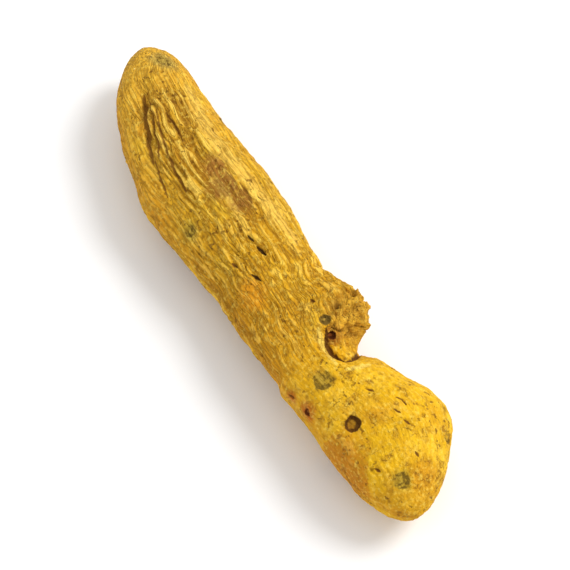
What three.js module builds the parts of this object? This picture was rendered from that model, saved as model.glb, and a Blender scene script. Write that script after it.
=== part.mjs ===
// A cured turmeric finger: one dried, polished rhizome with the stub of a side finger, lying on its belly.
// Millimetres, +Z up. The length runs along X, from the wrinkled tip at -X to the swollen butt at +X.
// The origin is on the surface that the finger lies on, under the middle of its bounding box.
import * as THREE from "three";
import { ImprovedNoise } from "three/addons/math/ImprovedNoise.js";
import { mergeVertices } from "three/addons/utils/BufferGeometryUtils.js";

// Driving dimensions
const LENGTH = 68;
const GIRTH = 14; // the widest place, at the belly
const TIP_CAP = 7; // how far from its end the tip starts to round off
const BUTT_CAP = 10;
const FLAT_DEPTH = 0.7; // how deep the belly and the butt are worn flat where they rest

// The mesh: rings of points across the finger, closer together where the stub stands
const SEGMENTS = 68;
const TIP_CAP_RINGS = 8;
const BUTT_CAP_RINGS = 13;
const RING_STEP = 1.05;
const STUB_RING_STEP = 0.72;
const RELAX_PASSES = 2;

// Cross-sections. "at" is a share of the length from the tip. Width, height, sway to +Y and lift of the
// middle are shares of the girth.
const SECTIONS = [
  { at: 0.0, width: 0.6, height: 0.56, sway: -0.08, lift: 0.44 },
  { at: 0.1, width: 0.73, height: 0.67, sway: -0.18, lift: 0.44 },
  { at: 0.19, width: 0.86, height: 0.77, sway: -0.22, lift: 0.44 },
  { at: 0.29, width: 0.995, height: 0.86, sway: -0.2, lift: 0.43 },
  { at: 0.38, width: 0.985, height: 0.87, sway: -0.135, lift: 0.435 },
  { at: 0.49, width: 0.9, height: 0.82, sway: -0.08, lift: 0.45 },
  { at: 0.6, width: 0.78, height: 0.73, sway: -0.085, lift: 0.46 },
  { at: 0.69, width: 0.73, height: 0.7, sway: -0.07, lift: 0.455 },
  { at: 0.765, width: 0.84, height: 0.81, sway: 0.035, lift: 0.45 },
  { at: 0.855, width: 0.99, height: 0.89, sway: 0.155, lift: 0.45 },
  { at: 0.94, width: 0.84, height: 0.83, sway: 0.105, lift: 0.46 },
  { at: 1.0, width: 0.74, height: 0.76, sway: 0.05, lift: 0.47 },
];

// The stub of the side finger. Angles round the finger are in degrees, from +Y over the top.
const STUB = {
  x: 43.4,
  angle: 34,
  radiusToTip: 6.6,
  radiusToButt: 3.7,
  radiusAcross: 4.5,
  reach: 9.0, // from the middle of the finger to the stub's broken face
  slantToButt: 0.5, // how steeply that face falls towards the butt, and towards the top
  slantToTop: 0.3,
  flareToTip: 2.2, // profile of the flank: 2 is a straight slope, 1 is a dome, less is blunter
  flareToButt: 0.9,
  roughness: 1.1, // relief of the broken face
};
const STUB_SHOULDER = { x: 40.2, angle: 30, length: 4, width: 4, height: 0.2 };

// Leaf-scar rings: a narrow groove with a low lip behind it, leaning by "tilt" mm across the finger
const RINGS = [
  { x: 9.5, depth: 0.14, tilt: 0.8, high: 200 },
  { x: 15.5, depth: 0.12, tilt: -1.0, high: 20 },
  { x: 21.5, depth: 0.2, tilt: 1.2, high: 250 },
  { x: 28.0, depth: 0.22, tilt: 1.5, high: 200 },
  { x: 34.5, depth: 0.18, tilt: -0.9, high: 120 },
  { x: 40.0, depth: 0.16, tilt: 0.8, high: 240 },
  { x: 47.4, depth: 0.3, tilt: 0.7, high: 60 },
  { x: 53.5, depth: 0.13, tilt: -1.0, high: 300 },
  { x: 60.0, depth: 0.16, tilt: 1.0, high: 180 },
];
const RING_WIDTH = 0.8;

// Folds run from one place on the skin to another. Depth is negative for a raised lip.
const FOLDS = [
  { from: [6.5, 108], to: [15.0, 131], width: 0.95, depth: 0.7 }, // beside the smooth rib of the tip
  { from: [14.0, 129], to: [25.0, 150], width: 0.95, depth: 0.6 },
  { from: [12.5, 95], to: [19.0, 90], width: 0.7, depth: 0.35 },
  { from: [16.0, 76], to: [28.5, 64], width: 0.85, depth: -0.8 }, // lip of the shrunken patch
  { from: [18.0, 64], to: [30.0, 50], width: 0.7, depth: 0.25 },
  { from: [28.0, 160], to: [40.0, 150], width: 0.9, depth: 0.3 },
  { from: [33.0, 62], to: [44.0, 84], width: 0.8, depth: 0.28 },
  { from: [43.8, 73], to: [47.2, 81], width: 0.85, depth: 1.0 }, // the crease round the stub's foot
  { from: [47.2, 81], to: [50.0, 75], width: 0.8, depth: 0.8 },
  { from: [50.0, 75], to: [48.8, 34], width: 0.85, depth: 1.1 },
  { from: [48.8, 34], to: [47.5, 0], width: 0.8, depth: 1.0 },
  { from: [45.0, 90], to: [50.5, 93], width: 0.8, depth: -0.5 }, // the lip in front of that crease
  { from: [12.0, 208], to: [30.0, 218], width: 1.0, depth: 0.4 },
  { from: [10.0, 330], to: [26.0, 322], width: 1.0, depth: 0.4 },
  { from: [30.0, 300], to: [42.0, 318], width: 0.9, depth: 0.35 },
];

// Round hollows: root scars, and the shrunken patch beside the slanting lip
const HOLLOWS = [
  { at: [22.0, 80], radius: 2.2, depth: 0.6 }, // shrunken patch
  { at: [25.5, 79], radius: 2.0, depth: 0.5 },
  { at: [56.9, 129], radius: 0.95, depth: 0.8 }, // open root scar on the butt
  { at: [44.8, 72], radius: 0.9, depth: 0.6 }, // root scars in the crease of the stub
  { at: [46.3, 69], radius: 0.9, depth: 0.45 },
  { at: [50.8, 117], radius: 1.4, depth: 0.2 },
  { at: [65.0, 105], radius: 1.2, depth: 0.25 },
  { at: [27.0, 145], radius: 1.4, depth: 0.2 },
  { at: [24.0, 200], radius: 1.2, depth: 0.4 },
  { at: [56.0, 215], radius: 1.3, depth: 0.4 },
  { at: [33.0, 345], radius: 1.2, depth: 0.4 },
  { at: [58.0, 340], radius: 1.1, depth: 0.5 },
  { at: [51.8, 82], radius: 1.3, depth: -0.45 }, // small buds below the stub
  { at: [52.8, 57], radius: 1.4, depth: -0.3 },
];

// Wrinkles along the finger, deepest on the shrunken upper face behind the tip
const WRINKLE = { count: 15, depth: 0.32, from: 8, full: 19, fading: 30, to: 46, deepestAngle: 92 };
const LUMP_SIZE = 9; // mm from one gentle swelling to the next
const LUMP_HEIGHT = 0.32;

const noise = new ImprovedNoise();
const radians = THREE.MathUtils.degToRad;
const smoothstep = THREE.MathUtils.smoothstep;
const bell = (distance, width) => Math.exp(-((distance / width) ** 2));
const MEAN_RADIUS = GIRTH * 0.45;

// The difference between two angles in radians, from -PI to PI
function angleBetween(a, b) {
  const turn = (a - b) % (2 * Math.PI);
  return turn > Math.PI ? turn - 2 * Math.PI : turn < -Math.PI ? turn + 2 * Math.PI : turn;
}

// Smooth noise that closes on itself round the finger
function noiseRound(along, angle, radius, seed) {
  return noise.noise(along, Math.cos(angle) * radius + seed, Math.sin(angle) * radius);
}

// The distance over the skin from a place to a straight fold, and to a point
function distanceToFold(x, angle, fold) {
  const [x0, a0] = [fold.from[0], radians(fold.from[1])];
  const along = new THREE.Vector2(fold.to[0] - x0, angleBetween(radians(fold.to[1]), a0) * MEAN_RADIUS);
  const here = new THREE.Vector2(x - x0, angleBetween(angle, a0) * MEAN_RADIUS);
  const share = THREE.MathUtils.clamp(here.dot(along) / along.lengthSq(), 0, 1);
  const fade = Math.sin(Math.PI * THREE.MathUtils.clamp(share, 0.04, 0.96)) ** 0.5;
  return { distance: here.sub(along.multiplyScalar(share)).length(), fade };
}

function distanceToPlace(x, angle, [x0, degrees]) {
  return Math.hypot(x - x0, angleBetween(angle, radians(degrees)) * MEAN_RADIUS);
}

// Relief of the skin in mm, outwards
function foldRelief(x, angle) {
  return FOLDS.reduce((sum, fold) => {
    const { distance, fade } = distanceToFold(x, angle, fold);
    return sum - fold.depth * fade * bell(distance, fold.width);
  }, 0);
}

function hollowRelief(x, angle) {
  return HOLLOWS.reduce((sum, hollow) => {
    return sum - hollow.depth * bell(distanceToPlace(x, angle, hollow.at), hollow.radius);
  }, 0);
}

function ringRelief(x, angle) {
  return RINGS.reduce((sum, ring) => {
    const waver = 0.5 * noiseRound(ring.x, angle, 1.6, 0);
    const offset = x - ring.x - ring.tilt * Math.cos(angle - radians(ring.high)) - waver;
    const groove = bell(offset, RING_WIDTH);
    const lip = bell(offset - 1.6 * RING_WIDTH, 1.3 * RING_WIDTH);
    return sum - ring.depth * (groove - 0.8 * lip);
  }, 0);
}

function wrinkleRelief(x, angle) {
  const wander = 8 * noiseRound(x * 0.1, angle, 1.2, 0);
  const wave = Math.cos(WRINKLE.count * angle + wander);
  const patchy = Math.max(0.15, 0.6 + 0.8 * noiseRound(x * 0.16, angle, 2.1, 7));
  const upperFace = bell(angleBetween(angle, radians(WRINKLE.deepestAngle)), 1);
  const started = smoothstep(x, WRINKLE.from, WRINKLE.full);
  const faded = smoothstep(x, WRINKLE.fading, WRINKLE.to);
  return WRINKLE.depth * wave * patchy * started * (1 - faded) * (0.35 + 0.65 * upperFace);
}

function lumpRelief(x, angle) {
  const lumps = (size, seed) => noiseRound(x / size, angle, (0.8 * LUMP_SIZE) / size, seed);
  const large = lumps(LUMP_SIZE, 3.7);
  const middling = lumps(LUMP_SIZE / 2, 11.2);
  const small = lumps(LUMP_SIZE / 4, 5.1);
  return LUMP_HEIGHT * (1.3 * large + 0.7 * middling + 0.35 * small);
}

function shoulderRelief(x, angle) {
  const { length, width, height } = STUB_SHOULDER;
  const ahead = x - STUB_SHOULDER.x;
  const around = angleBetween(angle, radians(STUB_SHOULDER.angle)) * MEAN_RADIUS;
  return height * bell(ahead, ahead < 0 ? length : length * 0.45) * bell(around, width);
}

// The finger's half-width, half-height, sway and lift, in mm, at a distance from the tip
const sectionCurve = new THREE.CubicInterpolant(
  SECTIONS.map((s) => s.at * LENGTH),
  SECTIONS.flatMap((s) => [s.width / 2, s.height / 2, s.sway, s.lift].map((share) => share * GIRTH)),
  4,
);
function sectionAt(x) {
  const [halfWidth, halfHeight, sway, lift] = sectionCurve.evaluate(x);
  return { halfWidth, halfHeight, sway, lift };
}

function skinPoint(x, angle, cap) {
  const { halfWidth, halfHeight, sway, lift } = sectionAt(x);
  const oval = 1 / Math.hypot(Math.cos(angle) / halfWidth, Math.sin(angle) / halfHeight);
  const lobes = 1 + 0.02 * Math.cos(3 * angle + x * 0.09) + 0.012 * Math.cos(5 * angle - x * 0.13);
  const relief =
    ringRelief(x, angle) +
    foldRelief(x, angle) +
    hollowRelief(x, angle) +
    wrinkleRelief(x, angle) +
    lumpRelief(x, angle) +
    shoulderRelief(x, angle);
  const radius = cap * (oval * lobes + relief);
  return new THREE.Vector3(x, sway + radius * Math.cos(angle), lift + radius * Math.sin(angle));
}

// Skin within the stub's foot is drawn out along the stub's axis into a blunt, broken stub.
const stubMiddle = sectionAt(STUB.x);
const stubCentre = new THREE.Vector3(STUB.x, stubMiddle.sway, stubMiddle.lift);
const stubAxis = new THREE.Vector3(0, Math.cos(radians(STUB.angle)), Math.sin(radians(STUB.angle)));
const stubSide = new THREE.Vector3(0, -stubAxis.z, stubAxis.y);
function raiseStub(point) {
  const fromCentre = point.clone().sub(stubCentre);
  const height = fromCentre.dot(stubAxis);
  const out = fromCentre.clone().addScaledVector(stubAxis, -height);
  const around = Math.atan2(out.x, out.dot(stubSide)); // 0 is the upper side, 90 degrees is towards the butt
  const toButt = Math.sin(around);
  const along = toButt > 0 ? STUB.radiusToButt : STUB.radiusToTip;
  const oval = 1 / Math.hypot(toButt / along, Math.cos(around) / STUB.radiusAcross);
  const foot = oval * (1 + 0.05 * Math.sin(2 * around + 0.7) + 0.04 * Math.sin(3 * around));
  const share = out.length() / foot;
  if (height < 0 || share >= 1) return point;
  const flare = THREE.MathUtils.lerp(STUB.flareToTip, STUB.flareToButt, smoothstep(toButt, -0.7, 0.5));
  const slope = (share * Math.PI) / 2;
  const side = foot * Math.sin(slope) ** flare;
  const rough = STUB.roughness * noise.noise(point.x * 0.6, point.y * 0.6, point.z * 0.6 + 4);
  const fall = STUB.slantToButt * toButt + STUB.slantToTop * Math.cos(around);
  const face = STUB.reach + rough - fall * side;
  const top = height + (face - height) * Math.cos(slope) ** flare;
  return stubCentre.clone().addScaledVector(out.normalize(), side).addScaledVector(stubAxis, top);
}

// A ring of a rounded end: how far back it lies and how wide it is, as shares of the cap and the full radius
function capRing(i, rings) {
  const turn = (i / rings) * (Math.PI / 2);
  return { back: 1 - Math.cos(turn), cap: Math.sin(turn) };
}

// The rings from tip to butt
function ringPlaces() {
  const places = [];
  for (let i = 0; i < TIP_CAP_RINGS; i++) {
    const { back, cap } = capRing(i, TIP_CAP_RINGS);
    places.push({ x: TIP_CAP * back, cap });
  }
  const stubZone = STUB.radiusToTip + 0.8;
  for (let x = TIP_CAP; x < LENGTH - BUTT_CAP; ) {
    places.push({ x, cap: 1 });
    x += Math.abs(x - STUB.x) < stubZone ? STUB_RING_STEP : RING_STEP;
  }
  for (let i = BUTT_CAP_RINGS; i >= 0; i--) {
    const { back, cap } = capRing(i, BUTT_CAP_RINGS);
    places.push({ x: LENGTH - BUTT_CAP * back, cap });
  }
  return places;
}

// Evens out the mesh where the stub's steep flank crosses it: each point there moves towards its neighbours
function relaxed(points, corners) {
  const neighbours = points.map(() => new Set());
  for (let i = 0; i < corners.length; i += 3) {
    const [a, b, c] = corners.slice(i, i + 3);
    neighbours[a].add(b).add(c);
    neighbours[b].add(a).add(c);
    neighbours[c].add(a).add(b);
  }
  return points.map((point, i) => {
    const distance = point.clone().sub(stubCentre).addScaledVector(stubAxis, -STUB.reach * 0.6).length();
    const share = 0.7 * (1 - smoothstep(distance, 4.5, 6.5));
    if (share === 0) return point;
    const mean = new THREE.Vector3();
    neighbours[i].forEach((j) => mean.addScaledVector(points[j], 1 / neighbours[i].size));
    return point.clone().lerp(mean, share);
  });
}

// Merges a lathe's seam and poles, drops the triangles that collapse there, and turns the rest over,
// because the lathe's axis Y is laid along X
function closed(geometry) {
  geometry.deleteAttribute("normal");
  geometry.deleteAttribute("uv");
  const merged = mergeVertices(geometry, 1e-5);
  const corners = merged.index.array;
  const kept = [];
  for (let i = 0; i < corners.length; i += 3) {
    const [a, b, c] = corners.slice(i, i + 3);
    if (a !== b && b !== c && c !== a) kept.push(a, c, b);
  }
  return merged.setIndex(kept);
}

function turmericFinger() {
  const profile = ringPlaces().map(({ x, cap }) => new THREE.Vector2(cap, x));
  const geometry = closed(new THREE.LatheGeometry(profile, SEGMENTS));
  const position = geometry.attributes.position;
  let points = [];
  for (let i = 0; i < position.count; i++) {
    const [side, x, top] = [position.getX(i), position.getY(i), position.getZ(i)];
    points.push(raiseStub(skinPoint(x, Math.atan2(top, side), Math.hypot(side, top))));
  }
  for (let pass = 0; pass < RELAX_PASSES; pass++) points = relaxed(points, geometry.index.array);
  const box = new THREE.Box3().setFromPoints(points);
  const middle = box.getCenter(new THREE.Vector3());
  const floor = box.min.z + FLAT_DEPTH;
  points.forEach(({ x, y, z }, i) => position.setXYZ(i, x - middle.x, y - middle.y, Math.max(z - floor, 0)));
  geometry.computeVertexNormals();
  return geometry;
}

const root = new THREE.Group();
const skin = new THREE.MeshStandardMaterial({ color: 0xd6a02b, roughness: 0.82, metalness: 0 });
const finger = new THREE.Mesh(turmericFinger(), skin);
finger.name = "turmeric_root";
root.add(finger);

export default root;
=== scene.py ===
"""A cured turmeric finger on a white surface.

A turmeric plant's side rhizome is boiled, sun-dried and tumbled, which leaves a hard, dusty, mustard-yellow
finger, wrinkled lengthwise where it shrank. This one has the stub of a broken side finger and lies on its
belly.
"""
import math

import bmesh
import bpy
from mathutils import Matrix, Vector
from mathutils.bvhtree import BVHTree


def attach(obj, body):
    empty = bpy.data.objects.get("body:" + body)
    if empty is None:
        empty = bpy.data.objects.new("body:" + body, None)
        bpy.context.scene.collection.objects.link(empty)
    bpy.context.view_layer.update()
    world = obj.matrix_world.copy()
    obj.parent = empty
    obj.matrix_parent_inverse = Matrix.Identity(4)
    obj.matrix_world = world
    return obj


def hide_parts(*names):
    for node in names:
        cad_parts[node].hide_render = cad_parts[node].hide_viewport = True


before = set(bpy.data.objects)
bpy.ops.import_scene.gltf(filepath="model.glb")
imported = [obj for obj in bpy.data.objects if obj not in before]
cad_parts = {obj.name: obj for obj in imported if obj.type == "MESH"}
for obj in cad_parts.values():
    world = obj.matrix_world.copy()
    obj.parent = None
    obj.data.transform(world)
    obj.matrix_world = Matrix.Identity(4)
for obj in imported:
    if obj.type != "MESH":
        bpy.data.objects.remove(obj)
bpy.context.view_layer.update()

# The finger
# One grown rhizome, hard and dry. Its form is the CAD solid's, whose triangles are merged and paired into
# quads, so that they subdivide evenly. The relief of its skin is then raised on that form.
MM = 0.001
ANY_ANGLE = math.pi
CENTRE_STEP = 2 * MM  # how far apart the middle of the finger is measured, along its length
CENTRE_REACH = 3 * MM

shape = bmesh.new()
shape.from_mesh(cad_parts["turmeric_root"].data)
bmesh.ops.remove_doubles(shape, verts=shape.verts, dist=0.001 * MM)
pairing = {"angle_face_threshold": ANY_ANGLE, "angle_shape_threshold": ANY_ANGLE}
bmesh.ops.join_triangles(shape, faces=shape.faces, **pairing)
tip_x = min(v.co.x for v in shape.verts)
butt_x = max(v.co.x for v in shape.verts)


def middle_at(x):
    """The middle of the finger's cross-section at x."""
    near = [v.co for v in shape.verts if abs(v.co.x - x) < CENTRE_REACH]
    return sum(near, Vector()) / len(near)


stations = [tip_x + CENTRE_STEP * (i + 0.5) for i in range(int((butt_x - tip_x) / CENTRE_STEP))]
middles = [middle_at(x) for x in stations]


def axis_at(x):
    """The point on the finger's bent axis at x."""
    place = min(max((x - stations[0]) / CENTRE_STEP, 0), len(stations) - 1.001)
    i = int(place)
    point = middles[i].lerp(middles[i + 1], place - i)
    return Vector((x, point.y, point.z))


# Marks on the skin
# Root scars, where thin roots broke off, are round. Cracks run from place to place, and stains are flat
# patches of another colour. Lines of painted shade lie in the deepest folds, and pale lines of painted
# highlight along the raised ridge and lips that face the window. A mark's place is its distance from the tip,
# in mm, and its angle round the finger, in degrees, from +Y over the top.
skin = BVHTree.FromBMesh(shape)
OUTSIDE = 30 * MM  # how far from the finger's axis is well clear of its skin
CRACK_STEP = 0.04  # how far apart the points of a crack are, as a share of the way between two places


def linear(hex_colour):
    """An sRGB hex value as the linear colour that Blender's sockets take."""
    shares = [int(hex_colour[i : i + 2], 16) / 255 for i in (1, 3, 5)]
    return tuple(c / 12.92 if c <= 0.04045 else ((c + 0.055) / 1.055) ** 2.4 for c in shares) + (1,)


def place_on_skin(along, angle):
    """The point of the skin at a mark's distance from the tip and angle round the finger."""
    middle = axis_at(tip_x + along * MM)
    outwards = Vector((0, math.cos(math.radians(angle)), math.sin(math.radians(angle))))
    return skin.ray_cast(middle + outwards * OUTSIDE, -outwards)[0]


def points_with_marks(name, marks):
    """An object with a point for each mark: along, angle, radius and depth in mm, and colour."""
    mesh = bpy.data.meshes.new(name)
    mesh.from_pydata([place_on_skin(along, angle) for along, angle, *_ in marks], [], [])
    radius = mesh.attributes.new("radius", "FLOAT", "POINT")
    depth = mesh.attributes.new("depth", "FLOAT", "POINT")
    tint = mesh.attributes.new("tint", "FLOAT_COLOR", "POINT")
    for i, (_, _, mark_radius, mark_depth, colour) in enumerate(marks):
        radius.data[i].value = mark_radius * MM
        depth.data[i].value = mark_depth * MM
        tint.data[i].color = linear(colour)
    points = bpy.data.objects.new(name, mesh)
    bpy.context.scene.collection.objects.link(points)
    return points


def marks_along(places, half_width, depth, colour):
    """The marks along a crack, which thins out at both ends."""
    marks = []
    spans = len(places) - 1
    for span, ((along, angle), (next_along, next_angle)) in enumerate(zip(places, places[1:])):
        for i in range(int(1 / CRACK_STEP)):
            share = i * CRACK_STEP
            thinning = math.sin(math.pi * (0.06 + 0.88 * (span + share) / spans)) ** 0.5
            place = (along + (next_along - along) * share, angle + (next_angle - angle) * share)
            marks.append((*place, half_width * thinning, depth * thinning, colour))
    return marks


CORK = "#9c6a26"
RED_CORK = "#8c3f1c"
OLIVE = "#a8882c"
ROOT_SCARS = [  # place, radius and depth in mm, and colour
    (56.9, 129, 0.95, 0.2, "#84501a"),
    (44.6, 73, 0.65, 0.25, "#b49440"),
    (46.3, 70, 0.45, 0.4, RED_CORK),
    (50.8, 117, 1.1, 0.12, OLIVE),
    (65.0, 105, 0.9, 0.12, OLIVE),
    (4.6, 66, 0.9, 0.1, OLIVE),
    (26.6, 147, 0.7, 0.1, OLIVE),
    (52.4, 158, 0.45, 0.2, RED_CORK),
    (24.0, 200, 1.0, 0.4, CORK),
    (56.0, 215, 1.1, 0.35, CORK),
    (12.0, 185, 0.6, 0.15, OLIVE),
    (36.0, 195, 0.8, 0.15, OLIVE),
    (33.0, 345, 0.9, 0.35, CORK),
    (58.0, 340, 0.9, 0.45, CORK),
    (14.0, 20, 0.6, 0.15, OLIVE),
    (62.0, 25, 0.7, 0.15, OLIVE),
    (44.0, 255, 0.8, 0.3, CORK),
]
# The crease round the stub's foot is brown skin darkened with painted shade
FOOT_CREASE_BROWN_AND_SHADE = "#5c3610"
DASH_BROWN = "#341a06"
# Painted shade: the browns for the bottoms of the deepest folds and the groove
FOLD_SHADE_BROWN = "#86591c"
GROOVE_SHADE_BROWN = "#875c1e"
SPECK_BROWN = "#724816"
CRACKS = [  # places, half width and depth in mm, and colour
    # Painted shade over brown skin: the crease round the stub's foot
    ([(45.6, 75), (47.0, 79), (48.6, 80), (49.7, 77)], 0.32, 0.25, FOOT_CREASE_BROWN_AND_SHADE),
    ([(49.7, 76), (49.6, 61), (48.5, 35), (47.9, 12)], 0.36, 0.3, FOOT_CREASE_BROWN_AND_SHADE),
    ([(31.2, 98), (32.2, 96)], 0.22, 0.25, DASH_BROWN),
    ([(32.8, 96), (34.2, 92)], 0.26, 0.3, DASH_BROWN),
    ([(35.6, 118), (36.8, 114)], 0.23, 0.25, DASH_BROWN),
    ([(27.0, 63), (27.8, 61)], 0.25, 0.25, DASH_BROWN),
    ([(33.0, 130), (33.7, 128)], 0.25, 0.2, SPECK_BROWN),
    ([(41.3, 73), (41.9, 70)], 0.25, 0.2, SPECK_BROWN),
    ([(49.4, 164), (50.2, 161)], 0.22, 0.2, SPECK_BROWN),
    ([(56.6, 74), (57.2, 70), (57.9, 70)], 0.2, 0.15, SPECK_BROWN),
    ([(57.9, 84), (58.6, 80)], 0.18, 0.15, SPECK_BROWN),
    ([(54.0, 90), (54.8, 86)], 0.18, 0.15, SPECK_BROWN),
    ([(63.0, 78), (63.6, 74)], 0.2, 0.15, SPECK_BROWN),
    ([(59.4, 80), (60.1, 76)], 0.18, 0.15, SPECK_BROWN),
    ([(62.5, 133), (63.1, 129)], 0.24, 0.2, SPECK_BROWN),
]
# Painted shade: dark lines in the bottoms of the deepest folds and in the groove beside the wrinkles
FOLD_SHADE_LINES = [  # the same, for the bottoms of the deepest folds
    ([(8.0, 113), (10.0, 120), (12.4, 128)], 0.32, 0.3, GROOVE_SHADE_BROWN),
    ([(11.6, 123), (14.0, 131), (17.0, 138)], 0.34, 0.3, GROOVE_SHADE_BROWN),
    ([(16.4, 133), (19.7, 141), (21.6, 146)], 0.2, 0.12, FOLD_SHADE_BROWN),
    ([(9.0, 108), (13.0, 118), (17.5, 127)], 0.26, 0.22, FOLD_SHADE_BROWN),
    ([(11.0, 104), (15.0, 112), (20.0, 121), (23.0, 125)], 0.24, 0.2, FOLD_SHADE_BROWN),
    ([(12.0, 94), (14.0, 92), (16.8, 93)], 0.24, 0.25, FOLD_SHADE_BROWN),
    ([(24.6, 71), (26.2, 71), (28.0, 75)], 0.2, 0.15, FOLD_SHADE_BROWN),
    ([(10.0, 215), (20.0, 222), (31.0, 214)], 0.4, 0.3, FOLD_SHADE_BROWN),
    ([(38.0, 330), (44.0, 322), (52.0, 326)], 0.4, 0.3, FOLD_SHADE_BROWN),
]
PATCH_BROWN = "#8f5a2a"
DEEP_BROWN = "#7f4a24"
RED_BROWN = "#b85a1c"
# Painted highlight, for the lips beside the stub's foot
HIGHLIGHT_YELLOW = "#ffdc64"
STAINS = [  # place, radius in mm, no depth, and colour
    (21.6, 82, 2.0, 0, PATCH_BROWN),
    (24.1, 85, 2.9, 0, DEEP_BROWN),
    (26.6, 80, 2.0, 0, PATCH_BROWN),
    (37.5, 133, 2.3, 0, "#e89a1c"),
    (52.4, 158, 1.4, 0, RED_BROWN),
    (49.8, 163, 0.9, 0, RED_BROWN),
    (26.6, 147, 1.3, 0, "#b39834"),
    (50.8, 117, 1.4, 0, "#b8962c"),
    (65.0, 105, 1.3, 0, "#bb9c2a"),
    (4.6, 66, 2.0, 0, "#b39c4c"),
    (46.3, 71, 1.6, 0, "#9a5a1a"),
    (60.0, 172, 5.0, 0, "#c87c1a"),
    (27.0, 215, 3.5, 0, "#b87a24"),
    (60.0, 330, 3.0, 0, "#bd7f1f"),
    (18.0, 330, 3.0, 0, "#a3702a"),
]
# Painted highlights: pale lines along the raised ridge on the right, which faces the window, and along the
# lips beside the stub's foot
PALE_HIGHLIGHT_LINES = [  # places, half width in mm, no depth, and colour
    ([(9.0, 45), (18.0, 62), (26.0, 60), (34.0, 52)], 1.4, 0, "#f2c452"),
    ([(45.2, 84), (47.4, 87), (50.0, 92)], 0.5, 0, HIGHLIGHT_YELLOW),
    ([(51.0, 88), (51.3, 74), (51.2, 58)], 0.45, 0, HIGHLIGHT_YELLOW),
]
crack_marks = [mark for values in CRACKS for mark in marks_along(*values)]
# The fold lines, which are painted shade, go with the cracks
fold_shade_marks = [mark for values in FOLD_SHADE_LINES for mark in marks_along(*values)]
# The pale lines, which are painted highlight, go with the stains
pale_highlight_marks = [mark for values in PALE_HIGHLIGHT_LINES for mark in marks_along(*values)]
root_scars = points_with_marks("root_scars", ROOT_SCARS)
cracks = points_with_marks("cracks", crack_marks + fold_shade_marks)
stains = points_with_marks("stains", STAINS + pale_highlight_marks)

# The mesh is finer where the scars and the narrow cracks are
FINE_REACH = 0.35 * MM
marked = [place_on_skin(along, angle) for along, angle, *_ in ROOT_SCARS + crack_marks]
near_marks = {index for place in marked for _, _, index, _ in skin.find_nearest_range(place, FINE_REACH)}
shape.faces.ensure_lookup_table()
edges = {edge for index in near_marks for edge in shape.faces[index].edges}
bmesh.ops.subdivide_edges(shape, edges=list(edges), cuts=1, use_grid_fill=True)

# Each point's place along the finger from its tip, and its place across it from the bent axis
straight = [v.co - axis_at(v.co.x) + Vector((v.co.x - tip_x, 0, 0)) for v in shape.verts]
finger_mesh = bpy.data.meshes.new("turmeric_finger")
shape.to_mesh(finger_mesh)
attribute = finger_mesh.attributes.new("straight", "FLOAT_VECTOR", "POINT")
for item, vector in zip(attribute.data, straight):
    item.vector = vector
finger = bpy.data.objects.new("turmeric_finger", finger_mesh)
bpy.context.scene.collection.objects.link(finger)

# Dried turmeric skin, tumbled: corky, dusty and quite matt, mustard-yellow on its ridges and browner in its
# folds. The eye sees warm mottling, dark specks of cork and a fine grain.
SKIN_ROUGHNESS = 0.85
DUSTY_SHINE = 0.13  # dust scatters most of the gloss of the skin under it
ZONES = (
    (0.02, "#e6b032"),
    (0.16, "#e8b132"),
    (0.34, "#e8b126"),
    (0.52, "#e2a91c"),
    (0.64, "#e0a218"),
    (0.76, "#ecb518"),
    (0.90, "#eeba16"),
    (1.00, "#dca418"),
)
STORED = (
    "straight",
    "flow",
    "valley",
    "ridge",
    "pit",
    "torn",
    "torn_gap",
    "scar_way",
    "scar_depth",
    "scar_tint",
    "crack_place",
    "crack_tint",
    "stain_place",
    "stain_tint",
)
SMOOTH = {"interpolation_type": "SMOOTHSTEP"}


def add(tree, kind, inputs, **settings):
    """Adds a node with its settings. Inputs go by name or in order, and take a value, a socket or a node."""
    node = tree.nodes.new(kind)
    for name, value in settings.items():
        setattr(node, name, value)
    for name, value in inputs.items() if isinstance(inputs, dict) else enumerate(inputs):
        if isinstance(value, bpy.types.Node):
            value = next(socket for socket in value.outputs if socket.enabled)
        if isinstance(value, bpy.types.NodeSocket):
            tree.links.new(value, node.inputs[name])
        else:
            node.inputs[name].default_value = value
    return node


material = bpy.data.materials.new("dried_turmeric_skin")
material.use_nodes = True
paint = material.node_tree
paint.nodes.clear()
position = add(paint, "ShaderNodeTexCoord", ()).outputs["Object"]
stored = {name: add(paint, "ShaderNodeAttribute", (), attribute_name=name).outputs for name in STORED}
across = add(paint, "ShaderNodeSeparateXYZ", (stored["straight"]["Vector"],)).outputs
length_share = add(paint, "ShaderNodeMath", (across["X"], butt_x - tip_x), operation="DIVIDE")
angle = add(paint, "ShaderNodeMath", (across["Z"], across["Y"]), operation="ARCTAN2")
zones = add(paint, "ShaderNodeValToRGB", (length_share,))
while len(zones.color_ramp.elements) < len(ZONES):
    zones.color_ramp.elements.new(0.5)
for element, (share, colour) in zip(zones.color_ramp.elements, ZONES):
    element.position = share
    element.color = linear(colour)


def spots(width, low, high, most):
    """Spots of a width: nothing below one level of a noise, and the most of their colour above the other."""
    noise = add(paint, "ShaderNodeTexNoise", {"Vector": position, "Scale": 1 / width, "Detail": 2.0})
    return add(paint, "ShaderNodeMapRange", (noise, low, high, 0.0, most))


def lines(vector, size, half_width, most):
    """Lines where a noise of a size crosses its middle level, with the most of their colour in the middle."""
    spread = add(paint, "ShaderNodeVectorMath", (vector, size), operation="DIVIDE")
    noise = add(paint, "ShaderNodeTexNoise", {"Vector": spread, "Scale": 1.0, "Detail": 2.0})
    level = add(paint, "ShaderNodeMath", (noise, 0.5), operation="SUBTRACT")
    from_line = add(paint, "ShaderNodeMath", (level,), operation="ABSOLUTE")
    return add(paint, "ShaderNodeMapRange", (from_line, 0.0, half_width, most, 0.0))


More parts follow.
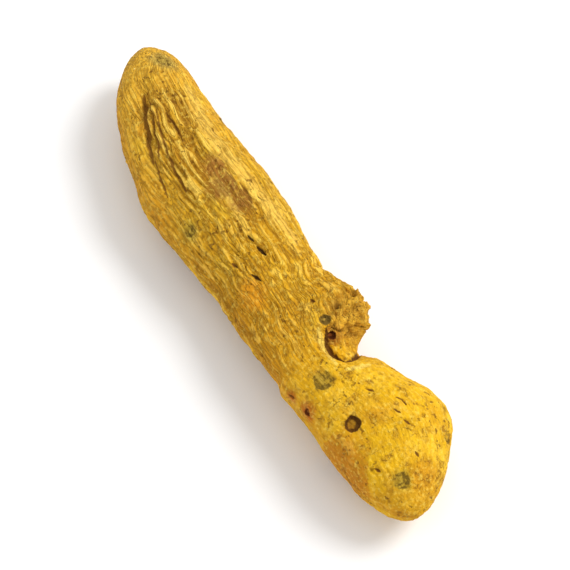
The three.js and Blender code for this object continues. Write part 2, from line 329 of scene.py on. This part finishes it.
# Fine creases run along the finger. Towards the butt they give way to short crooked ones. Dark specks of
# cork lie in loose groups.
straight_share = add(paint, "ShaderNodeMapRange", (across["X"], 42 * MM, 52 * MM, 0.6, 0.2), **SMOOTH)
creases = lines(stored["flow"]["Vector"], (5 * MM, 0.42 * MM, 0.42 * MM), 0.07, straight_share)
crooked_groups = spots(1.4 * MM, 0.52, 0.64, 0.7)
crooked_range = (across["X"], 42 * MM, 54 * MM, 0.0, crooked_groups)
crooked_share = add(paint, "ShaderNodeMapRange", crooked_range, **SMOOTH)
crooked_creases = lines(position, (0.8 * MM, 0.8 * MM, 0.8 * MM), 0.06, crooked_share)
specks = spots(0.62 * MM, 0.61, 0.67, spots(3 * MM, 0.42, 0.6, 0.7))

# A root scar is a pale plug in a dark ring, which is clear round a deep scar and broken round a shallow one.
# The ring is partly painted shade in the scar's hollow: the plug stands to one side of the ring's middle,
# which leaves a dark crescent like the shadow of the rim.
edge_noise = add(paint, "ShaderNodeTexNoise", {"Vector": position, "Scale": 1 / (0.6 * MM), "Detail": 2.0})
unevenness = add(paint, "ShaderNodeMath", (edge_noise, 0.5), operation="SUBTRACT")
scar_way = stored["scar_way"]["Vector"]
scar_distance = add(paint, "ShaderNodeVectorMath", (scar_way,), operation="LENGTH").outputs["Value"]
scar_place = add(paint, "ShaderNodeMath", (unevenness, 0.7, scar_distance), operation="MULTIPLY_ADD")
plug_distance = add(paint, "ShaderNodeVectorMath", (scar_way, (-0.15, -0.25, 0.1)), operation="DISTANCE")
plug_place = add(
    paint, "ShaderNodeMath", (unevenness, 0.7, plug_distance.outputs["Value"]), operation="MULTIPLY_ADD"
)
scar_depth = stored["scar_depth"]["Fac"]
scar_share = add(paint, "ShaderNodeMapRange", (scar_depth, 0.15 * MM, 0.25 * MM, 0.4, 0.8), **SMOOTH)
scar = add(paint, "ShaderNodeMapRange", (scar_place, 0.8, 1.15, scar_share, 0.0), **SMOOTH)
broken = spots(0.45 * MM, 0.42, 0.58, 0.85)
ring_share = add(paint, "ShaderNodeMapRange", (scar_depth, 0.15 * MM, 0.2 * MM, broken, 0.9), **SMOOTH)
ring_outside = add(paint, "ShaderNodeMapRange", (scar_place, 0.95, 1.15, ring_share, 0.0), **SMOOTH)
# Painted shade in part: the dark ring darkens the scar's hollow, widest on one side like the rim's shadow
dark_ring_and_shade = add(paint, "ShaderNodeMapRange", (plug_place, 0.32, 0.56, 0.0, ring_outside), **SMOOTH)
ring_and_shade_tint = add(
    paint, "ShaderNodeMix", {0: 0.75, 6: stored["scar_tint"]["Color"], 7: linear("#3a2006")}, data_type="RGBA"
)
crack_place = add(
    paint, "ShaderNodeMath", (unevenness, 1.5, stored["crack_place"]["Fac"]), operation="MULTIPLY_ADD"
)
crack = add(paint, "ShaderNodeMapRange", (crack_place, 0.4, 1.1, 0.95, 0.0), **SMOOTH)
stain_place = add(
    paint, "ShaderNodeMath", (unevenness, 0.8, stored["stain_place"]["Fac"]), operation="MULTIPLY_ADD"
)
stain_and_highlight = add(paint, "ShaderNodeMapRange", (stain_place, 0.4, 1.25, 0.85, 0.0), **SMOOTH)

# Painted shade: the left flank, turned away from the window, is darkened towards orange-brown
shaded_flank = add(paint, "ShaderNodeMapRange", (angle, math.radians(135), math.radians(172), 0.0, 0.5), **SMOOTH)
colour = zones
for share, layer in (
    (spots(7 * MM, 0.5, 0.75, 0.8), linear("#cc881a")),
    (spots(4.5 * MM, 0.52, 0.75, 0.7), linear("#f8ca34")),
    (shaded_flank, linear("#d28a1c")),
    (spots(1.4 * MM, 0.48, 0.72, 0.5), linear("#b8821a")),
    # Stains, and the pale lines of painted highlight
    (stain_and_highlight, stored["stain_tint"]["Color"]),
    (stored["valley"]["Fac"], linear("#8a5a14")),
    # Painted highlight, partly the polish of tumbling: the fold crests are paler
    (stored["ridge"]["Fac"], linear("#fad868")),
    (creases, linear("#91661a")),
    (crooked_creases, linear("#86561a")),
    (spots(0.8 * MM, 0.5, 0.75, 0.5), linear("#a8761a")),
    # Painted highlight: small pale flecks, like glints on the grain
    (spots(0.45 * MM, 0.52, 0.75, 0.5), linear("#fad85c")),
    (stored["torn"]["Fac"], linear("#e0a83a")),
    (stored["torn_gap"]["Fac"], linear("#7c4e16")),
    (specks, linear("#6c4210")),
    (stored["pit"]["Fac"], linear("#784e14")),
    (scar, stored["scar_tint"]["Color"]),
    (dark_ring_and_shade, ring_and_shade_tint),
    # The cracks' own dark brown, and painted shade along the fold lines and the crease at the stub's foot
    (crack, stored["crack_tint"]["Color"]),
):
    colour = add(paint, "ShaderNodeMix", {0: share, 6: colour, 7: layer}, data_type="RGBA")

# The dust's grain is about 0.05 mm across and too fine to show, so it is drawn at 0.3 mm
dust = add(paint, "ShaderNodeTexNoise", {"Vector": position, "Scale": 1 / (0.3 * MM), "Detail": 3.0})
height = 0.0
for share, rise in (
    (dust, 0.26 * MM),
    (creases, -0.16 * MM),
    (crooked_creases, -0.14 * MM),
    (specks, -0.1 * MM),
):
    height = add(paint, "ShaderNodeMath", (share, rise, height), operation="MULTIPLY_ADD")
bumps = add(paint, "ShaderNodeBump", {"Height": height, "Distance": 1.0, "Strength": 1.0})
finish = {"Roughness": SKIN_ROUGHNESS, "Specular IOR Level": DUSTY_SHINE}
surface = add(paint, "ShaderNodeBsdfPrincipled", {"Base Color": colour, "Normal": bumps, **finish})
add(paint, "ShaderNodeOutputMaterial", (surface,))

# The relief of the skin. Drying drew it into fine folds along the finger, deepest behind the tip. Small pits
# are scattered over it, and the stub's end is torn and fibrous.
RELIEF = {
    "Fold length": ("NodeSocketFloat", 11 * MM),
    "Fold width": ("NodeSocketFloat", 0.8 * MM),
    "Fold depth": ("NodeSocketFloat", 0.38 * MM),
    "Pit spacing": ("NodeSocketFloat", 1.9 * MM),
    "Pit depth": ("NodeSocketFloat", 0.15 * MM),
    "Grain width": ("NodeSocketFloat", 0.7 * MM),
    "Grain depth": ("NodeSocketFloat", 0.25 * MM),
    "Torn lump": ("NodeSocketFloat", 1.0 * MM),
    "Torn depth": ("NodeSocketFloat", 0.7 * MM),
    "Stub face": ("NodeSocketVector", place_on_skin(45.2, 42)),
    "Root scars": ("NodeSocketObject", root_scars),
    "Cracks": ("NodeSocketObject", cracks),
    "Stains": ("NodeSocketObject", stains),
    "Skin": ("NodeSocketMaterial", material),
}
relief = bpy.data.node_groups.new("skin_relief", "GeometryNodeTree")
relief.interface.new_socket("Geometry", in_out="OUTPUT", socket_type="NodeSocketGeometry")
relief.interface.new_socket("Geometry", in_out="INPUT", socket_type="NodeSocketGeometry")
identifiers = {
    name: relief.interface.new_socket(name, in_out="INPUT", socket_type=kind).identifier
    for name, (kind, _) in RELIEF.items()
}
given = add(relief, "NodeGroupInput", ()).outputs

point = add(relief, "GeometryNodeInputPosition", ())
unbent = add(relief, "GeometryNodeInputNamedAttribute", {"Name": "straight"}, data_type="FLOAT_VECTOR")
across = add(relief, "ShaderNodeSeparateXYZ", (unbent,)).outputs
along = across["X"]
angle = add(relief, "ShaderNodeMath", (across["Z"], across["Y"]), operation="ARCTAN2")

# Grain: an uneven, dusty skin
grain_scale = add(relief, "ShaderNodeMath", (1.0, given["Grain width"]), operation="DIVIDE")
grain_noise = add(relief, "ShaderNodeTexNoise", {"Vector": point, "Scale": grain_scale, "Detail": 3.0})
grain = add(relief, "ShaderNodeMath", (grain_noise, 0.5), operation="SUBTRACT")

# The skin's flow: its places along and across the finger, which wander a little
wander = add(relief, "ShaderNodeTexNoise", {"Vector": unbent, "Scale": 1 / (5 * MM), "Detail": 1.0})
wandering = (wander.outputs["Color"], (0, 1.6 * MM, 1.6 * MM), unbent)
flow = add(relief, "ShaderNodeVectorMath", wandering, operation="MULTIPLY_ADD")

# Folds run where a noise that is drawn out along the flow crosses its middle level. They are deepest above
# and below behind the tip, fade towards the butt, and leave the flanks smoother.
fold_sizes = (given["Fold length"], given["Fold width"], given["Fold width"])
fold_size = add(relief, "ShaderNodeCombineXYZ", fold_sizes)
drawn_out = add(relief, "ShaderNodeVectorMath", (flow, fold_size), operation="DIVIDE")
fold_noise = add(relief, "ShaderNodeTexNoise", {"Vector": drawn_out, "Scale": 1.0, "Detail": 1.5})
fold_level = add(relief, "ShaderNodeMath", (fold_noise, 0.5), operation="SUBTRACT")
from_valley = add(relief, "ShaderNodeMath", (fold_level,), operation="ABSOLUTE")
fold = add(relief, "ShaderNodeMapRange", (from_valley, 0.0, 0.14, 1.0, 0.0))
from_top = add(relief, "ShaderNodeMath", (angle, math.radians(95)), operation="SUBTRACT")
facing_up = add(relief, "ShaderNodeMath", (from_top,), operation="COSINE")
off_flank = add(relief, "ShaderNodeMath", (facing_up,), operation="ABSOLUTE")
upper = add(relief, "ShaderNodeMapRange", (off_flank, 0.65, 0.95, 0.25, 1.0), **SMOOTH)
begun = add(relief, "ShaderNodeMapRange", (along, 4 * MM, 11 * MM, 0.0, upper), **SMOOTH)
shrunk = add(relief, "ShaderNodeMapRange", (along, 21 * MM, 32 * MM, begun, 0.6), **SMOOTH)
faded = add(relief, "ShaderNodeMapRange", (along, 41 * MM, 50 * MM, shrunk, 0.2), **SMOOTH)

# Pits: one in some of the cells of a Voronoi pattern
pit_scale = add(relief, "ShaderNodeMath", (1.0, given["Pit spacing"]), operation="DIVIDE")
cells = add(relief, "ShaderNodeTexVoronoi", {"Vector": flow, "Scale": pit_scale}).outputs
chance = add(relief, "FunctionNodeSeparateColor", (cells["Color"],)).outputs["Red"]
pit_radius = add(relief, "ShaderNodeMapRange", (chance, 0.7, 1.0, 0.0, 0.14), **SMOOTH)
pit_rim = add(relief, "ShaderNodeMath", (pit_radius, 0.1), operation="ADD")
pit_here = add(relief, "ShaderNodeMapRange", (chance, 0.7, 0.8, 0.0, 1.0), **SMOOTH)
pit = add(relief, "ShaderNodeMapRange", (cells["Distance"], pit_radius, pit_rim, pit_here, 0.0), **SMOOTH)

# The stub's torn face: fibrous lumps of uneven height, with gaps between them
from_face = add(relief, "ShaderNodeVectorMath", (point, given["Stub face"]), operation="DISTANCE")
face_edge = add(relief, "ShaderNodeMath", (grain, 4 * MM, from_face), operation="MULTIPLY_ADD")
torn = add(relief, "ShaderNodeMapRange", (face_edge, 2.8 * MM, 3.8 * MM, 1.0, 0.0), **SMOOTH)
lump_scale = add(relief, "ShaderNodeMath", (1.0, given["Torn lump"]), operation="DIVIDE")
raggedness = (grain_noise.outputs["Color"], (1.2 * MM, 1.2 * MM, 1.2 * MM), point)
ragged = add(relief, "ShaderNodeVectorMath", raggedness, operation="MULTIPLY_ADD")
lumps = add(relief, "ShaderNodeTexVoronoi", {"Vector": ragged, "Scale": lump_scale}).outputs
lump_drop = add(relief, "FunctionNodeSeparateColor", (lumps["Color"],)).outputs["Red"]
gap = add(relief, "ShaderNodeMapRange", (lumps["Distance"], 0.3, 0.85, 0.0, torn), **SMOOTH)
lump_level = add(relief, "ShaderNodeMath", (lump_drop, 0.75), operation="SUBTRACT")
lump_hollow = add(relief, "ShaderNodeMath", (lump_level, torn, gap), operation="MULTIPLY_ADD")


def nearest_mark(marks):
    """The way from the nearest mark and its length, both as shares of its radius, its depth and its tint."""
    cloud = add(relief, "GeometryNodeObjectInfo", {"Object": given[marks]}).outputs["Geometry"]
    nearest = add(relief, "GeometryNodeSampleNearest", {"Geometry": cloud, "Sample Position": point})
    found = {}
    for name, kind in (
        ("position", "FLOAT_VECTOR"),
        ("radius", "FLOAT"),
        ("depth", "FLOAT"),
        ("tint", "FLOAT_COLOR"),
    ):
        value = add(relief, "GeometryNodeInputNamedAttribute", {"Name": name}, data_type=kind)
        inputs = {"Geometry": cloud, "Value": value, "Index": nearest}
        found[name] = add(relief, "GeometryNodeSampleIndex", inputs, data_type=kind)
    offset = add(relief, "ShaderNodeVectorMath", (point, found["position"]), operation="SUBTRACT")
    way = add(relief, "ShaderNodeVectorMath", (offset, found["radius"]), operation="DIVIDE")
    return way, add(relief, "ShaderNodeVectorMath", (way,), operation="LENGTH"), found["depth"], found["tint"]


scar_way, scar_place, scar_depth, scar_tint = nearest_mark("Root scars")
hole = add(relief, "ShaderNodeMapRange", (scar_place, 0.65, 1.1, 1.0, 0.0), **SMOOTH)
plug = add(relief, "ShaderNodeMapRange", (scar_place, 0.3, 0.6, 0.55, 0.0), **SMOOTH)
lip_outside = add(relief, "ShaderNodeMapRange", (scar_place, 1.15, 1.8, 0.35, 0.0), **SMOOTH)
lip = add(relief, "ShaderNodeMapRange", (scar_place, 0.9, 1.15, 0.0, lip_outside), **SMOOTH)
raised = add(relief, "ShaderNodeMath", (plug, lip), operation="ADD")
scar = add(relief, "ShaderNodeMath", (hole, raised), operation="SUBTRACT")
_, crack_place, crack_depth, crack_tint = nearest_mark("Cracks")
crack = add(relief, "ShaderNodeMapRange", (crack_place, 0.2, 1.2, 1.0, 0.0), **SMOOTH)

# The stained patches are shrunken and smooth, and the folds are weaker under the pale lines of painted
# highlight too
_, stain_place, _, stain_tint = nearest_mark("Stains")
fold_strength = add(relief, "ShaderNodeMapRange", (stain_place, 0.5, 1.2, 0.3, faded), **SMOOTH)
fold_share = add(relief, "ShaderNodeMath", (fold, fold_strength), operation="MULTIPLY")

hollow = 0.0
for share, depth in (
    (grain, given["Grain depth"]),
    (fold_share, given["Fold depth"]),
    (pit, given["Pit depth"]),
    (lump_hollow, given["Torn depth"]),
    (scar, scar_depth),
    (crack, crack_depth),
):
    hollow = add(relief, "ShaderNodeMath", (share, depth, hollow), operation="MULTIPLY_ADD")
normal = add(relief, "GeometryNodeInputNormal", ())
inwards = add(relief, "ShaderNodeVectorMath", (normal, (-1, -1, -1)), operation="MULTIPLY")
offset = add(relief, "ShaderNodeVectorMath", {0: inwards, "Scale": hollow}, operation="SCALE")

# What the material reads: the flow, the shares of each kind of relief, and each nearest mark. It is stored
# before the skin is moved, because the marks' distances are from the unmoved skin.
finest = add(relief, "GeometryNodeSubdivisionSurface", {"Mesh": given["Geometry"], "Level": 2})
# The fold crests, which the material paints paler: partly polish, partly painted highlight
ridge = add(relief, "ShaderNodeMapRange", (fold, 0.0, 0.3, fold_strength, 0.0), **SMOOTH)
for name, kind, value in (
    ("flow", "FLOAT_VECTOR", flow),
    ("valley", "FLOAT", add(relief, "ShaderNodeMath", (fold_share, 0.75), operation="MULTIPLY")),
    ("ridge", "FLOAT", add(relief, "ShaderNodeMath", (ridge, 0.5), operation="MULTIPLY")),
    ("pit", "FLOAT", add(relief, "ShaderNodeMath", (pit, 0.6), operation="MULTIPLY")),
    ("torn", "FLOAT", add(relief, "ShaderNodeMath", (torn, 0.4), operation="MULTIPLY")),
    ("torn_gap", "FLOAT", add(relief, "ShaderNodeMath", (gap, 0.5), operation="MULTIPLY")),
    ("scar_way", "FLOAT_VECTOR", scar_way),
    ("scar_depth", "FLOAT", scar_depth),
    ("scar_tint", "FLOAT_COLOR", scar_tint),
    ("crack_place", "FLOAT", crack_place),
    ("crack_tint", "FLOAT_COLOR", crack_tint),
    ("stain_place", "FLOAT", stain_place),
    ("stain_tint", "FLOAT_COLOR", stain_tint),
):
    inputs = {"Geometry": finest, "Name": name, "Value": value}
    finest = add(relief, "GeometryNodeStoreNamedAttribute", inputs, data_type=kind, domain="POINT")
carved = add(relief, "GeometryNodeSetPosition", {"Geometry": finest, "Offset": offset})

# The skin stays above the surface it lies on
moved = add(relief, "ShaderNodeSeparateXYZ", (point,)).outputs
above = add(relief, "ShaderNodeMath", (moved["Z"], 0.0), operation="MAXIMUM")
kept = add(relief, "ShaderNodeCombineXYZ", (moved["X"], moved["Y"], above))
resting = add(relief, "GeometryNodeSetPosition", {"Geometry": carved, "Position": kept})
real = add(relief, "GeometryNodeRealizeInstances", (resting,))
dressed = add(relief, "GeometryNodeSetMaterial", {"Geometry": real, "Material": given["Skin"]})
add(relief, "NodeGroupOutput", {"Geometry": dressed})

modifier = finger.modifiers.new("skin_relief", "NODES")
modifier.node_group = relief
for name, (_, value) in RELIEF.items():
    modifier[identifiers[name]] = value
depsgraph = bpy.context.evaluated_depsgraph_get()
finger_mesh = bpy.data.meshes.new_from_object(
    finger.evaluated_get(depsgraph), preserve_all_data_layers=True, depsgraph=depsgraph
)
finger.modifiers.clear()
finger.data = finger_mesh
finger_mesh.shade_smooth()
for marks in (root_scars, cracks, stains):
    bpy.data.objects.remove(marks)
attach(finger, "root")
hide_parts("turmeric_root")

# The surface it lies on
# A sheet of smooth white card, larger than the picture. It lies level at height 0, where the finger's belly
# and butt rest on it.
CARD_REACH = 1000 * MM
CARD_WHITE = "#f3f3f3"
CARD_ROUGHNESS = 0.9
card_corners = [(x * CARD_REACH, y * CARD_REACH, 0) for x, y in ((-1, -1), (1, -1), (1, 1), (-1, 1))]
floor_mesh = bpy.data.meshes.new("white_surface")
floor_mesh.from_pydata(card_corners, [], [(0, 1, 2, 3)])
floor = bpy.data.objects.new("white_surface", floor_mesh)
bpy.context.scene.collection.objects.link(floor)
card = bpy.data.materials.new("white_card")
card.use_nodes = True
card_surface = card.node_tree.nodes["Principled BSDF"].inputs
card_surface["Base Color"].default_value = linear(CARD_WHITE)
card_surface["Roughness"].default_value = CARD_ROUGHNESS
floor_mesh.materials.append(card)

# The camera
# It keeps the photograph's viewing angle, with a long lens, and is moved in until the finger fills most of
# the picture.
CAMERA_TURN = math.radians(64.4)
CAMERA_RISE = math.radians(60)
CAMERA_AIM = Vector((1.5, 0.7, 5.4)) * MM
CAMERA_AWAY = 356 * MM
CAMERA_LENS = 200
level_back = Vector((math.sin(CAMERA_TURN), -math.cos(CAMERA_TURN), 0))
back = level_back * math.cos(CAMERA_RISE) + Vector((0, 0, math.sin(CAMERA_RISE)))
right = Vector((math.cos(CAMERA_TURN), math.sin(CAMERA_TURN), 0))
up = back.cross(right)
camera_data = bpy.data.cameras.new("camera")
camera_data.lens = CAMERA_LENS
camera = bpy.data.objects.new("camera", camera_data)
camera.location = CAMERA_AIM + back * CAMERA_AWAY
camera.rotation_euler = back.to_track_quat("Z", "Y").to_euler()
bpy.context.scene.collection.objects.link(camera)
bpy.context.scene.camera = camera
bpy.context.scene.view_settings.view_transform = "Standard"

# The light
# A bright white room gives an even light from all round. A soft window stands beside the camera, to its
# right and above it, and gives the soft shadow on the left.
ROOM_WHITE = "#ffffff"
ROOM_STRENGTH = 0.88
WINDOW_AWAY = 600 * MM
WINDOW_WIDTH = 300 * MM
WINDOW_WATTS = 2.3
world = bpy.data.worlds.new("bright_room")
world.use_nodes = True
room_light = world.node_tree.nodes["Background"].inputs
room_light["Color"].default_value = linear(ROOM_WHITE)
room_light["Strength"].default_value = ROOM_STRENGTH
bpy.context.scene.world = world
window_way = (back * 0.75 + right * 0.75 + up * 0.65).normalized()
window_data = bpy.data.lights.new("soft_window", "AREA")
window_data.shape = "DISK"
window_data.size = WINDOW_WIDTH
window_data.energy = WINDOW_WATTS
window = bpy.data.objects.new("soft_window", window_data)
window.location = window_way * WINDOW_AWAY
window.rotation_euler = window_way.to_track_quat("Z", "Y").to_euler()
bpy.context.scene.collection.objects.link(window)
